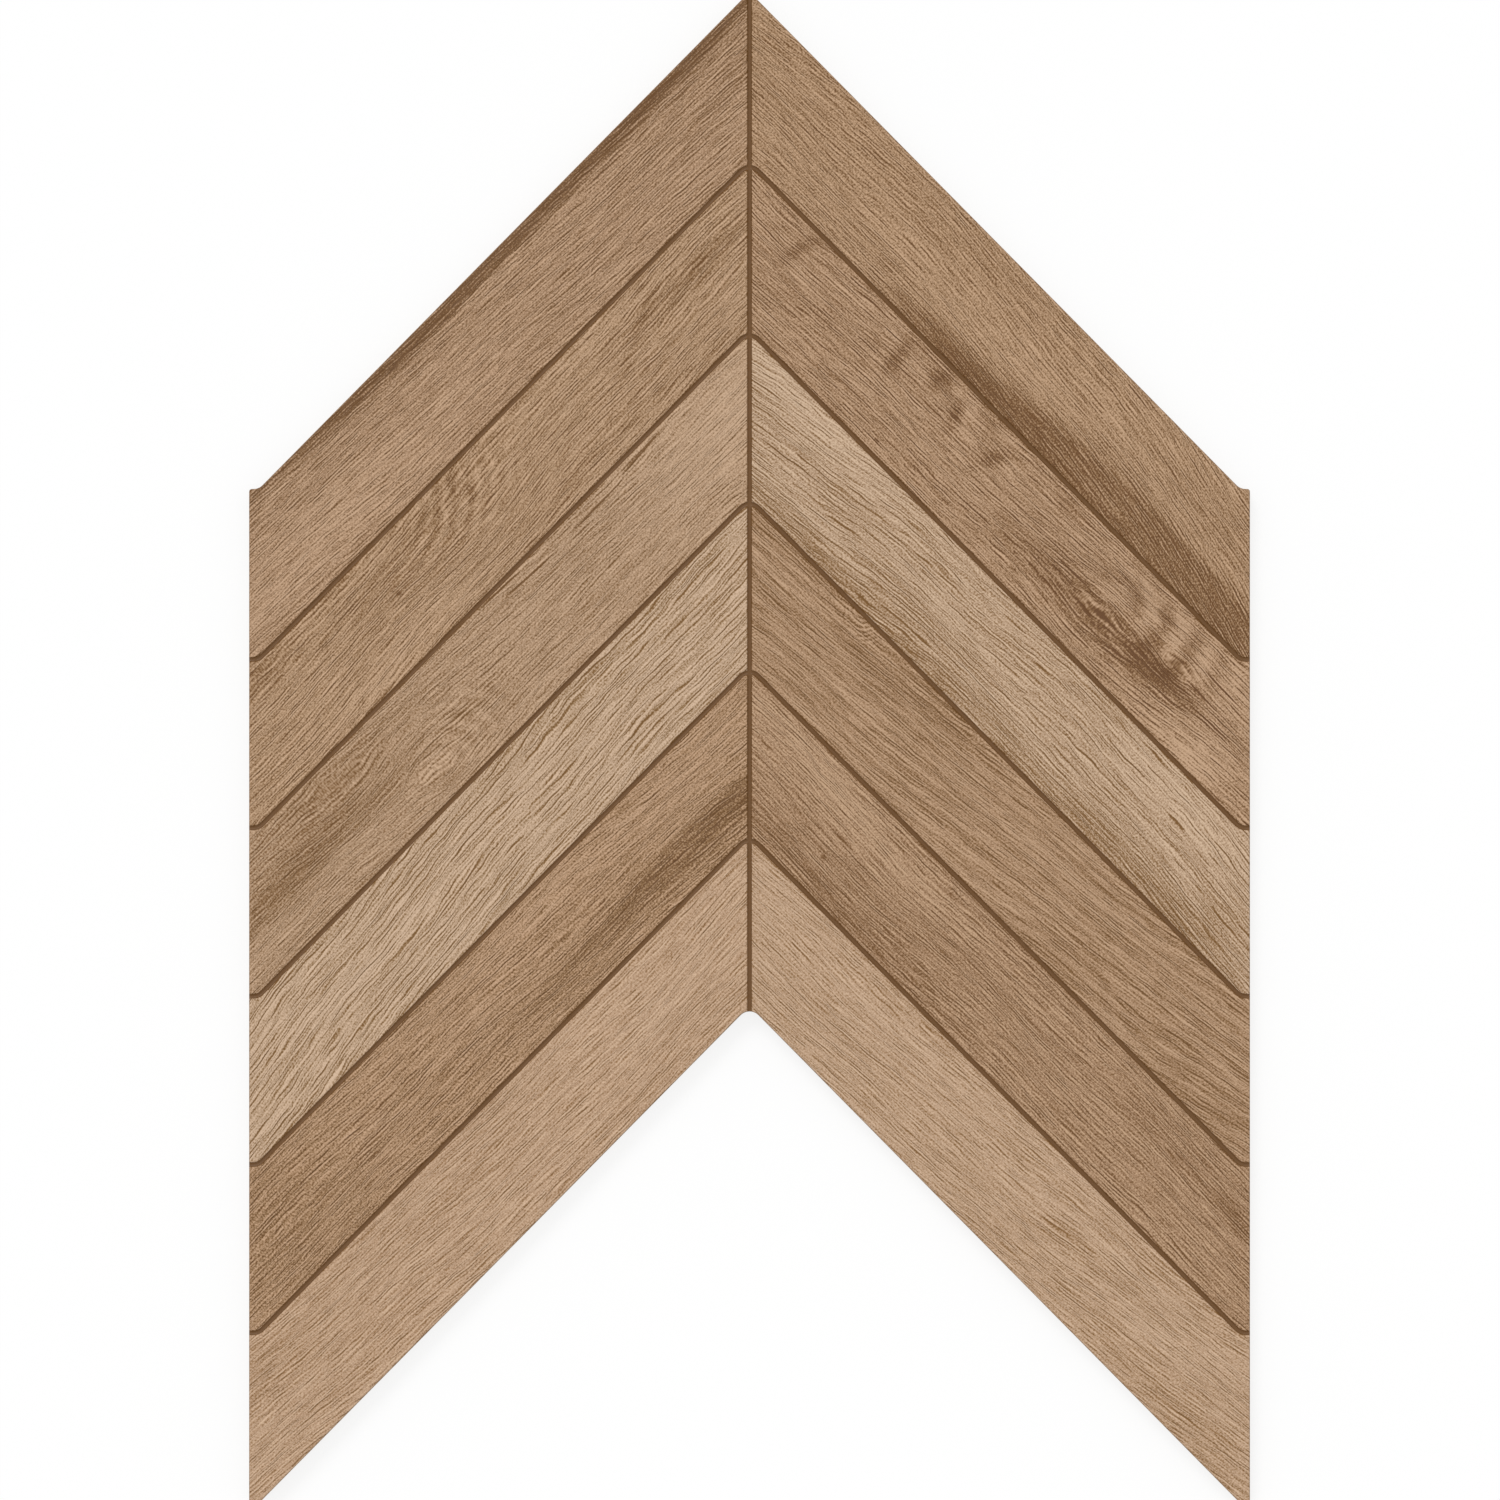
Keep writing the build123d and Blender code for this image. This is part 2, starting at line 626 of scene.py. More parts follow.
    def pores(self, tree: NodeTree, along: NodeSocket, flow: Node, rings: Node) -> tuple[Node, Node]:
        """Draws oak's open pores: thin dark lines along the grain, broken into dashes.

        A noise shifts the lines, so they close up and part again.

        Args:
            tree: The print's tree.
            along: Distance along the plank.
            flow: The bent distance across the grain.
            rings: The year rings, which the dashes crowd along.

        Returns:
            The nodes that are 1 in a pore and 1 where pores crowd.
        """
        spacing = self.pore_spacing
        shift = self.layer(
            tree, Layer.PORE_SHIFT, along, flow, (self.pore_length, self.pore_shift_width * spacing)
        )
        count = add(tree, MATH, (flow, 1 / spacing, self.seed), operation="MULTIPLY_ADD")
        count = add(tree, MATH, (shift, self.pore_shift, count), operation="MULTIPLY_ADD")
        aside = add(tree, MATH, (count, 0.5), operation="PINGPONG")
        line = add(tree, MAP_RANGE, (aside, self.pore_width / spacing, 0.0), interpolation_type="SMOOTHSTEP")
        dashes = self.layer(tree, Layer.PORE_DASHES, along, flow, (self.dash_length, self.dash_width * spacing))
        crowd = add(tree, MATH, (rings, -self.dash_crowding, dashes), operation="MULTIPLY_ADD")
        edge = self.dash_edge - self.dash_edge_drop * self.pore_share
        shown = add(tree, MAP_RANGE, (crowd, edge, edge + self.dash_fade), interpolation_type="SMOOTHSTEP")
        return add(tree, MATH, (line, shown), operation="MULTIPLY"), shown

    def bands(
        self, tree: NodeTree, distance: Node | NodeSocket, cloud: Node, pitch: float, unevenness: float
    ) -> Node:
        """Draws soft, uneven bands, such as year rings, from -1 to 1.

        Args:
            tree: The print's tree.
            distance: The distance that the bands repeat over.
            cloud: The noise that makes them uneven.
            pitch: The distance from band to band.
            unevenness: How far the noise shifts them, in radians.

        Returns:
            The bands' node.
        """
        phase = add(tree, MATH, (distance, 2 * pi / pitch, self.seed), operation="MULTIPLY_ADD")
        uneven = add(tree, MATH, (cloud, unevenness, phase), operation="MULTIPLY_ADD")
        return add(tree, MATH, (uneven,), operation="SINE")

    def add_patches(self, tree: NodeTree, along: NodeSocket, drifting: Node, tone: Node) -> Node:
        """Adds the patches and figures that make this plank its own.

        Args:
            tree: The print's tree.
            along: Distance along the plank.
            drifting: The wandering distance across the plank.
            tone: The tone so far.

        Returns:
            The node that gives the new tone.
        """
        place = add(tree, COMBINE, (along, drifting))
        for patch in (*self.patches, *self.figures):
            oval = add(
                tree,
                MAPPING,
                {
                    "Vector": place,
                    "Location": (patch.along, patch.across, 0),
                    "Rotation": (0, 0, patch.lean),
                    "Scale": (patch.half_length, patch.half_width, 1),
                },
                vector_type="TEXTURE",
            )
            share = add(tree, "ShaderNodeTexGradient", (oval,), gradient_type="SPHERICAL").outputs[1]
            if patch.crisp > 1:
                share = add(tree, MATH, (share, patch.crisp), operation="MULTIPLY", use_clamp=True)
            if isinstance(patch, Figure):
                centre = (patch.centre_along, patch.centre_across, 0)
                centred = {"Vector": place, "Location": centre, "Scale": (patch.stretch, 1, 1)}
                turned = add(tree, MAPPING, centred, vector_type="TEXTURE")
                radius = add(tree, VECTOR_MATH, (turned,), operation="LENGTH").outputs["Value"]
                ragged = self.layer(tree, Layer.RAGGED, along, drifting, self.ragged_cell, detail=1.0)
                arcs = self.bands(tree, radius, ragged, patch.pitch, patch.ragged)
                share = add(tree, MATH, (arcs, share), operation="MULTIPLY")
            tone = add(tree, MATH, (share, -patch.depth, tone), operation="MULTIPLY_ADD")
        return tone

    def ink(self, tree: NodeTree, tone: Node) -> Node:
        """Gives each tone its ink.

        Args:
            tree: The print's tree.
            tone: From 0, the darkest ink, to 1, the palest.

        Returns:
            The node that gives the colour.
        """
        ramp = add(tree, "ShaderNodeValToRGB", (tone,))
        dark, middle, pale = self.dark, self.middle, self.pale
        inks = (dark, halfway(dark, middle), middle, halfway(middle, pale), pale)
        stops = ramp.color_ramp.elements
        for position in INK_STOPS[1:-1]:
            stops.new(position)
        for stop, position, ink in zip(stops, INK_STOPS, inks):
            stop.position, stop.color = position, linear(ink)
        return ramp

    def joint_ink_and_rim_shade_masks(self, tree: NodeTree, sizes: TileSizes) -> tuple[Node, Node]:
        """Finds where the joint ink floods a groove and where painted shade darkens the face towards the rim.

        Args:
            tree: The print's tree.
            sizes: The tile's sizes.

        Returns:
            The nodes that are 1 in a groove and that give the painted rim shade, most at the rim.
        """
        joint_at = add(tree, "ShaderNodeAttribute", attribute_name=JOINT).outputs["Fac"]
        worn, flooded = (sizes.groove_opening / 2 - fade for fade in self.joint_fade)
        joint = add(tree, MAP_RANGE, (joint_at, worn, flooded), interpolation_type="SMOOTHSTEP")
        rim_at = add(tree, "ShaderNodeAttribute", attribute_name=RIM).outputs["Fac"]
        # Painted shade: darker towards the rounded rim, where the cushion edge turns from the light.
        rim = add(
            tree, MAP_RANGE, (rim_at, *self.rim_shade_fade, 0.0, self.rim_shade_share), interpolation_type="SMOOTHSTEP"
        )
        return joint, rim


@dataclass(frozen=True)
class FiredBody:
    """Unglazed stoneware body: pressed clay powder, fired hard, so a dry face with fine specks.

    The specks lie over a broad bloom. Their sum turns from the speck's colour to the base's
    within the range.
    """

    name: str
    base: str
    speck: str
    roughness: float
    speck_mm: float = 0.8
    bloom_mm: float = 28.0
    detail: float = 3.0
    bloom_share: float = 0.6
    speck_range: tuple[float, float] = (0.6, 1.05)
    bump_strength: float = 0.4
    bump_depth: float = 0.06

    def material(self) -> Material:
        """Makes the finish.

        Returns:
            The finished material.
        """
        made = bare_material(self.name)
        tree = made.node_tree
        place = add(tree, "ShaderNodeTexCoord").outputs["Object"]
        grain, bloom = (
            add(tree, NOISE, {"Vector": place, "Scale": 1 / (size * MM), "Detail": self.detail})
            for size in (self.speck_mm, self.bloom_mm)
        )
        both = add(tree, MATH, (bloom, self.bloom_share, grain), operation="MULTIPLY_ADD")
        share = add(tree, MAP_RANGE, (both, *self.speck_range))
        inks = {MIX_FIRST: linear(self.speck), MIX_SECOND: linear(self.base)}
        colour = add(tree, MIX, {0: share, **inks}, data_type="RGBA").outputs[MIX_RESULT]
        pressed = {"Strength": self.bump_strength, "Distance": self.bump_depth * MM, "Height": grain}
        bump = add(tree, BUMP, pressed)
        surface = {"Base Color": colour, "Roughness": self.roughness, "IOR": CERAMIC_IOR, "Normal": bump}
        add(tree, MATERIAL_OUTPUT, {"Surface": add(tree, PRINCIPLED, surface)})
        return made


@dataclass
class PressedFace:
    """The tile's face and walls, pressed from a flat ruled sheet by a geometry tree.

    Lengths are in millimetres. The sheet's rulings crowd where it is pressed most: in the grooves,
    round the bends and over the rim.
    """

    sizes: TileSizes
    row_step: float = 1.0
    column_step: float = 3.2
    groove_rulings: tuple[float, ...] = (0.35, 0.7, 1.0, 1.3, 1.6)
    groove_margin: float = 2.0
    spine_rulings: tuple[float, ...] = (2.0, 2.6, 3.3)
    bend_divisions: int = 5
    rim_divisions: int = 5
    before_rim: float = 1.35
    fillet_points: int = 24
    floor_easing: float = 0.9
    shoulder_easing: float = 0.45

    # The grain relief: its depth, its cell, the part of the noise that shows and where it fades in.
    # The plank step sets the noise of one plank off from the next one's.
    relief_depth: float = 0.12
    relief_run: float = 26.0
    relief_pitch: float = 3.6
    relief_detail: float = 2.0
    relief_range: tuple[float, float] = (0.32, 0.68)
    relief_off_joint: tuple[float, float] = (1.6, 5.0)
    relief_off_rim: tuple[float, float] = (1.0, 5.0)
    plank_step: float = 7.7
    seed: int = 11

    def rim_steps(self) -> list[float]:
        """Divides the rim's rounding evenly.

        Returns:
            Distances in from the rim.
        """
        radius = self.sizes.face_edge_radius
        turns = (radians(90 * step / self.rim_divisions) for step in range(self.rim_divisions + 1))
        return [radius * (1 - cos(turn)) for turn in turns]

    def columns(self) -> list[float]:
        """Finds where the sheet is ruled lengthways.

        Returns:
            Distances out along the bent line, from the left side to the right.
        """
        bend, slant = self.sizes.bend_run, self.sizes.slant_run
        runs = [0.0, *self.groove_rulings, *self.spine_rulings, bend]
        steps = ceil(slant / self.column_step)
        runs += [bend + slant * step / steps for step in range(1, steps + 1)]
        steps = self.bend_divisions
        runs += [bend + slant + bend * step / steps for step in range(1, steps + 1)]
        runs += [self.sizes.half_run - step for step in (self.before_rim, *reversed(self.rim_steps()))]
        return [-run for run in reversed(runs[1:])] + runs

    def rows(self) -> list[tuple[float, float]]:
        """Finds where the sheet is ruled crossways.

        Returns:
            Each ruling's line, as a drop from the head, and its offset from that line.
        """
        sizes = self.sizes
        lines = sizes.line_drops
        margin = self.groove_margin
        half_groove = [*self.groove_rulings, margin]
        groove = [-step for step in reversed(half_groove)] + [0.0] + half_groove
        rows = [(lines[0], step) for step in (*self.rim_steps(), margin)]
        for start, end in zip(lines, lines[1:]):
            steps = round(((end - start) / sizes.upright - 2 * margin) / self.row_step)
            for step in range(1, steps):
                share = step / steps
                rows.append((start + (end - start) * share, margin - 2 * margin * share))
            if end < sizes.side_length:
                rows += [(end, offset) for offset in groove]
        rows += [(lines[-1], -step) for step in (margin, *reversed(self.rim_steps()))]
        return rows

    def sheet(self) -> Object:
        """Rules the flat sheet. Each vertex holds its run along the bent line, drop and offset.

        Returns:
            The sheet's object.
        """
        runs = self.columns()
        rows = self.rows()
        wide = len(runs)
        points = [(run * MM, -drop * MM, offset * MM) for drop, offset in rows for run in runs]
        faces = [
            (corner, corner + wide, corner + wide + 1, corner + 1)
            for row in range(len(rows) - 1)
            for corner in range(row * wide, (row + 1) * wide - 1)
        ]
        mesh = bpy.data.meshes.new("pressed_face")
        mesh.from_pydata(points, [], faces)
        return in_scene("pressed_face", mesh)

    def tree(self, prints: list[Material], wall: Material) -> NodeTree:
        """Builds the tree that presses the sheet.

        Args:
            prints: One print for each plank, left arm first, from the head down.
            wall: The fired body's finish, for the walls.

        Returns:
            The geometry tree.
        """
        sizes = self.sizes
        named = {
            "Half Width": sizes.half_width,
            "Side Bend Offset": sizes.side_bend_offset,
            "Sharp Rise": sizes.sharp_rise,
            "Bend Radius": sizes.bend_radius,
            "Half Run": sizes.half_run,
            "Shoulder Y": sizes.shoulder_y,
            "Side Length": sizes.side_length,
            "Thickness": sizes.thickness,
            "Rim Radius": sizes.face_edge_radius,
            "Corner Radius": sizes.corner_radius,
            "Back Chamfer": sizes.back_edge_chamfer,
            "Groove Pitch": sizes.groove_pitch,
            "Half Opening": sizes.groove_opening / 2,
            "Groove Depth": sizes.groove_depth,
            "Relief Depth": self.relief_depth,
        }
        tree, given = sized_tree("press_face", named)
        ruled = add(tree, SEPARATE, (add(tree, "GeometryNodeInputPosition"),))
        run, lift, offset = ruled.outputs
        drop = add(tree, MATH, (lift, -1.0), operation="MULTIPLY")
        across = add(tree, MATH, (offset, sizes.upright, drop), operation="MULTIPLY_ADD")
        from_spine = add(tree, MATH, (run,), operation="ABSOLUTE")

        line = self.bent_line(tree, given)
        share = add(tree, MATH, (run, given["Half Run"]), operation="DIVIDE")
        factor = add(tree, MATH, (share, 0.5, 0.5), operation="MULTIPLY_ADD")
        on_line = add(tree, "GeometryNodeSampleCurve", {"Curves": line, "Factor": factor}, mode="FACTOR")
        upward = (0.0, 0.0, 1.0)
        square = add(tree, VECTOR_MATH, (upward, on_line.outputs["Tangent"]), operation="CROSS_PRODUCT")
        square = add(tree, VECTOR_MATH, (square,), operation="NORMALIZE")
        base_y = add(tree, MATH, (given["Shoulder Y"], drop), operation="SUBTRACT")
        base = add(tree, COMBINE, {1: base_y, 2: given["Thickness"]})
        slid = add(tree, VECTOR_MATH, (on_line.outputs["Position"], base), operation="ADD")
        inward = add(tree, MATH, (offset, -1.0), operation="MULTIPLY")
        shifted = add(tree, VECTOR_MATH, {0: square, "Scale": inward}, operation="SCALE")
        spread = add(tree, VECTOR_MATH, (slid, shifted), operation="ADD")

        # Distances in from the side and from the head or the foot
        from_side = add(tree, MATH, (given["Half Run"], from_spine), operation="SUBTRACT")
        from_head = add(tree, MATH, (drop, offset), operation="ADD")
        from_foot = add(tree, MATH, (given["Side Length"], from_head), operation="SUBTRACT")
        from_end = add(tree, MATH, (from_head, from_foot), operation="MINIMUM")
        rim = add(tree, MATH, (from_side, from_end), operation="MINIMUM")

        # The plan corners: a square of sheet drawn in to a quarter circle
        toward_side = add(tree, MATH, (given["Corner Radius"], from_side), operation="SUBTRACT")
        toward_side = add(tree, MATH, (toward_side, 0.0), operation="MAXIMUM")
        toward_end = add(tree, MATH, (given["Corner Radius"], from_end), operation="SUBTRACT")
        toward_end = add(tree, MATH, (toward_end, 0.0), operation="MAXIMUM")
        side_sign = add(tree, MATH, (run,), operation="SIGN")
        middle = add(tree, MATH, (from_foot, from_head), operation="SUBTRACT")
        end_sign = add(tree, MATH, (middle,), operation="SIGN")
        out_x = add(tree, MATH, (toward_side, side_sign), operation="MULTIPLY")
        out_end = add(tree, MATH, (toward_end, end_sign), operation="MULTIPLY")
        out_side = add(tree, COMBINE, (out_x,))
        out_line = add(tree, VECTOR_MATH, {0: square, "Scale": out_end}, operation="SCALE")
        outward = add(tree, VECTOR_MATH, (out_side, out_line), operation="ADD")
        reach = add(tree, MATH, (toward_side, toward_end), operation="MAXIMUM")
        length = add(tree, VECTOR_MATH, (outward,), operation="LENGTH")
        safe = add(tree, MATH, (length.outputs["Value"], SMALLEST), operation="MAXIMUM")
        ratio = add(tree, MATH, (reach, safe), operation="DIVIDE")
        draw = add(tree, MATH, (ratio, 1.0), operation="SUBTRACT")
        drawn = add(tree, VECTOR_MATH, {0: outward, "Scale": draw}, operation="SCALE")
        cornered = add(tree, VECTOR_MATH, (spread, drawn), operation="ADD")

        # How deep each place is pressed
        plan = add(tree, SEPARATE, (cornered,))
        spine_distance = add(tree, MATH, (plan.outputs[0],), operation="ABSOLUTE")
        groove_distance = self.groove_distance(tree, given, drop, offset)
        joint = add(tree, MATH, (spine_distance, groove_distance), operation="MINIMUM")
        press = self.groove_press(tree, given, joint)
        press = add(tree, MATH, (press, self.rim_press(tree, given, rim)), operation="MAXIMUM")
        relief = self.relief(tree, given, run, across, joint, rim)
        press = add(tree, MATH, (press, relief), operation="ADD")
        down = add(tree, MATH, (press, -1.0), operation="MULTIPLY")
        depth = add(tree, COMBINE, {2: down})
        final = add(tree, VECTOR_MATH, (cornered, depth), operation="ADD")

        flow = given["Geometry"]
        kept = {
            JOINT: ("FLOAT", add(tree, MATH, (joint, 1 / MM), operation="MULTIPLY")),
            RIM: ("FLOAT", add(tree, MATH, (rim, 1 / MM), operation="MULTIPLY")),
            SHEET: ("FLOAT_VECTOR", self.sheet_place(tree, run, across)),
            OUTWARD: ("FLOAT_VECTOR", add(tree, VECTOR_MATH, (outward,), operation="NORMALIZE")),
        }
        for name, (kind, value) in kept.items():
            stored = {"Geometry": flow, "Name": name, "Value": value}
            flow = add(tree, "GeometryNodeStoreNamedAttribute", stored, data_type=kind, domain="POINT")
        flow = add(tree, SET_POSITION, {"Geometry": flow, "Position": final})
        flow = self.set_prints(tree, flow, prints)
        flow = self.walls(tree, given, flow, wall)
        add(tree, "NodeGroupOutput", (flow,))
        return tree

    def bent_line(self, tree: NodeTree, given: bpy_prop_collection) -> Node:
        """Draws the chevron line from side to side, with rounded bends.

        Args:
            tree: The pressing tree.
            given: The tree's inputs.

        Returns:
            The node that gives the curve.
        """
        corner = add(tree, MATH, (given["Half Width"], given["Side Bend Offset"]), operation="SUBTRACT")
        left_corner = add(tree, MATH, (corner, -1.0), operation="MULTIPLY")
        left_side = add(tree, MATH, (given["Half Width"], -1.0), operation="MULTIPLY")
        index = add(tree, "GeometryNodeInputIndex")
        across = add(tree, "GeometryNodeIndexSwitch", (index,), data_type="FLOAT")
        # Five corners from side to side. The middle one stays at the spine and is raised.
        places = (left_side.outputs[0], left_corner.outputs[0], None, corner.outputs[0], given["Half Width"])
        while len(across.index_switch_items) < len(places):
            across.index_switch_items.new()
        for number, place in enumerate(places, start=1):
            if place is not None:
                tree.links.new(place, across.inputs[number])
        spine = {"A": index, "B": places.index(None)}
        at_spine = add(tree, "FunctionNodeCompare", spine, data_type="INT", operation="EQUAL")
        height = add(tree, MATH, (at_spine, given["Sharp Rise"]), operation="MULTIPLY")
        corners = add(tree, "GeometryNodeMeshLine", {"Count": len(places)})
        place = add(tree, COMBINE, (across, height))
        placed = add(tree, SET_POSITION, {"Geometry": corners, "Position": place})
        sharp = add(tree, "GeometryNodeMeshToCurve", (placed,))
        bends = {"Count": self.fillet_points, "Radius": given["Bend Radius"], "Limit Radius": True}
        return add(tree, "GeometryNodeFilletCurve", {"Curve": sharp, **bends}, mode="POLY")

    def groove_distance(
        self, tree: NodeTree, given: bpy_prop_collection, drop: Node, offset: NodeSocket
    ) -> Node:
        """Measures how far each place is from the nearest cross groove.

        Args:
            tree: The pressing tree.
            given: The tree's inputs.
            drop: How far the place's line is below the head.
            offset: How far the place is from its line.

        Returns:
            The node that gives the distance.
        """
        outermost = (self.sizes.plank_rows - 2) / 2
        half = add(tree, MATH, (given["Side Length"], 0.5), operation="MULTIPLY")
        off_middle = add(tree, MATH, (drop, half), operation="SUBTRACT")
        count = add(tree, MATH, (off_middle, given["Groove Pitch"]), operation="DIVIDE")
        nearest = add(tree, MATH, (count,), operation="ROUND")
        nearest = add(tree, "ShaderNodeClamp", (nearest, -outermost, outermost))
        missed = add(tree, MATH, (count, nearest), operation="SUBTRACT")
        missed = add(tree, MATH, (missed, given["Groove Pitch"]), operation="MULTIPLY")
        missed = add(tree, MATH, (missed,), operation="ABSOLUTE")
        aside = add(tree, MATH, (offset,), operation="ABSOLUTE")
        return add(tree, MATH, (missed, aside), operation="ADD")

    def groove_press(self, tree: NodeTree, given: bpy_prop_collection, distance: Node) -> Node:
        """Gives a groove's depth: drafted walls eased into the floor and into the face.

        Args:
            tree: The pressing tree.
            given: The tree's inputs.
            distance: The distance from the nearest groove's middle.

        Returns:
            The node that gives the depth.
        """
        wall = tan(radians(90 - self.sizes.groove_draft))
        inside = add(tree, MATH, (given["Half Opening"], distance), operation="SUBTRACT")
        valley = add(tree, MATH, (inside, wall), operation="MULTIPLY")
        floor = {0: valley, 1: given["Groove Depth"], 2: self.floor_easing * MM}
        trough = add(tree, MATH, floor, operation="SMOOTH_MIN")
        return add(tree, MATH, (trough, 0.0, self.shoulder_easing * MM), operation="SMOOTH_MAX")

    def rim_press(self, tree: NodeTree, given: bpy_prop_collection, rim: Node) -> Node:
        """Gives how far the rounded rim falls away below the face.

        Args:
            tree: The pressing tree.
            given: The tree's inputs.
            rim: The distance in from the outline.

        Returns:
            The node that gives the depth.
        """
        radius = given["Rim Radius"]
        left = add(tree, MATH, (radius, rim), operation="SUBTRACT")
        left = add(tree, MATH, (left, 0.0), operation="MAXIMUM")
        square = add(tree, MATH, (left, left), operation="MULTIPLY")
        whole = add(tree, MATH, (radius, radius), operation="MULTIPLY")
        rest = add(tree, MATH, (whole, square), operation="SUBTRACT")
        rest = add(tree, MATH, (rest, 0.0), operation="MAXIMUM")
        height = add(tree, MATH, (rest,), operation="SQRT")
        return add(tree, MATH, (radius, height), operation="SUBTRACT")

    def relief(
        self,
        tree: NodeTree,
        given: bpy_prop_collection,
        run: NodeSocket,
        across: Node,
        joint: Node,
        rim: Node,
    ) -> Node:
        """Gives the shallow grain that the punch leaves along each plank.

        Args:
            tree: The pressing tree.
            given: The tree's inputs.
            run: The run along the bent line.
            across: The drop of each place itself below the head.
            joint: The distance from the nearest groove.
            rim: The distance in from the outline.

        Returns:
            The node that gives the depth.
        """
        plank = add(tree, MATH, (across, given["Groove Pitch"]), operation="DIVIDE")
        plank = add(tree, MATH, (plank,), operation="FLOOR")
        squeezed = add(tree, COMBINE, (run, across, plank))
        scale = (1 / (self.relief_run * MM), 1 / (self.relief_pitch * self.sizes.upright * MM), self.plank_step)
        stretched = add(tree, VECTOR_MATH, (squeezed, scale), operation="MULTIPLY")
        seeded = add(tree, VECTOR_MATH, (stretched, (self.seed, 0.0, 0.0)), operation="ADD")
        grain = add(tree, NOISE, {"Vector": seeded, "Scale": 1.0, "Detail": self.relief_detail})
        depth = add(tree, MAP_RANGE, (grain, *self.relief_range))
        off_joint, off_rim = (
            add(tree, MAP_RANGE, (distance, none * MM, full * MM), interpolation_type="SMOOTHSTEP")
            for distance, (none, full) in ((joint, self.relief_off_joint), (rim, self.relief_off_rim))
        )
        share = add(tree, MATH, (off_joint, off_rim), operation="MULTIPLY")
        share = add(tree, MATH, (share, depth), operation="MULTIPLY")
        return add(tree, MATH, (share, given["Relief Depth"]), operation="MULTIPLY")

    def sheet_place(self, tree: NodeTree, run: NodeSocket, across: Node) -> Node:
        """Keeps each place's run and drop in millimetres, for the piece's map.

        Args:
            tree: The pressing tree.
            run: The run along the bent line.
            across: The drop of each place itself below the head.

        Returns:
            The node that gives the place.
        """
        place = add(tree, COMBINE, (run, across))
        return add(tree, VECTOR_MATH, {0: place, "Scale": 1 / MM}, operation="SCALE")

    def set_prints(self, tree: NodeTree, flow: Node, prints: list[Material]) -> Node:
        """Gives each plank its print.

        Args:
            tree: The pressing tree.
            flow: The node that gives the pressed face.
            prints: One print for each plank, left arm first, from the head down.

        Returns:
            The last node.
        """
        lines = self.sizes.line_drops
        place = add(tree, NAMED_ATTRIBUTE, {"Name": SHEET}, data_type="FLOAT_VECTOR").outputs["Attribute"]
        on_face = add(tree, "GeometryNodeFieldOnDomain", (place,), data_type="FLOAT_VECTOR", domain="FACE")
        run, drop = add(tree, SEPARATE, (on_face,)).outputs[:2]
        flow = add(tree, SET_MATERIAL, {"Geometry": flow, "Material": prints[0]})
        for number, print_material in enumerate(prints):
            arm, row = divmod(number, self.sizes.plank_rows)
            side = add(tree, MATH, (run, 0.0), operation="GREATER_THAN" if arm else "LESS_THAN")
            below = add(tree, MATH, (drop, lines[row]), operation="GREATER_THAN")
            above = add(tree, MATH, (drop, lines[row + 1]), operation="LESS_THAN")
            inside = add(tree, MATH, (side, below), operation="MULTIPLY")
            inside = add(tree, MATH, (inside, above), operation="MULTIPLY")
            flow = add(tree, SET_MATERIAL, {"Geometry": flow, "Selection": inside, "Material": print_material})
        return flow

    def walls(self, tree: NodeTree, given: bpy_prop_collection, flow: Node, wall: Material) -> Node:
        """Draws the sheet's border down to the back, with an eased edge.

        Args:
            tree: The pressing tree.
            given: The tree's inputs.
            flow: The node that gives the pressed face.
            wall: The fired body's finish.

        Returns:
            The last node.
        """
        neighbours = add(tree, "GeometryNodeInputMeshEdgeNeighbors")
        border = add(tree, "FunctionNodeCompare", {"A": neighbours, "B": 1}, data_type="INT", operation="EQUAL")
        chamfer = given["Back Chamfer"]
        used = add(tree, MATH, (given["Rim Radius"], chamfer), operation="ADD")
        fall = add(tree, MATH, (used, given["Thickness"]), operation="SUBTRACT")
        lowered = {"Selection": border, "Offset": add(tree, COMBINE, {2: fall}), "Offset Scale": 1.0}
        straight = add(tree, EXTRUDE, {"Mesh": flow, **lowered}, mode="EDGES")
        outward = add(tree, NAMED_ATTRIBUTE, {"Name": OUTWARD}, data_type="FLOAT_VECTOR").outputs["Attribute"]
        back_in = add(tree, MATH, (chamfer, -1.0), operation="MULTIPLY")
        in_plan = add(tree, VECTOR_MATH, {0: outward, "Scale": back_in}, operation="SCALE")
        slope = add(tree, VECTOR_MATH, (in_plan, add(tree, COMBINE, {2: back_in})), operation="ADD")
        drawn_in = {"Selection": straight.outputs["Top"], "Offset": slope, "Offset Scale": 1.0}
        eased = add(tree, EXTRUDE, {"Mesh": straight, **drawn_in}, mode="EDGES")
        sides = (straight.outputs["Side"], eased.outputs["Side"])
        is_wall = add(tree, "FunctionNodeBooleanMath", sides, operation="OR")
        whole = add(tree, "GeometryNodeRealizeInstances", (eased,))
        return add(tree, SET_MATERIAL, {"Geometry": whole, "Selection": is_wall, "Material": wall})

    def build(self, prints: list[Material], wall: Material) -> Mesh:
        """Presses the sheet and returns the result as a plain mesh, open at the back.

        Args:
            prints: One print for each plank.
            wall: The fired body's finish.

        Returns:
            The pressed mesh.
        """
        return evaluated(self.sheet(), self.tree(prints, wall))


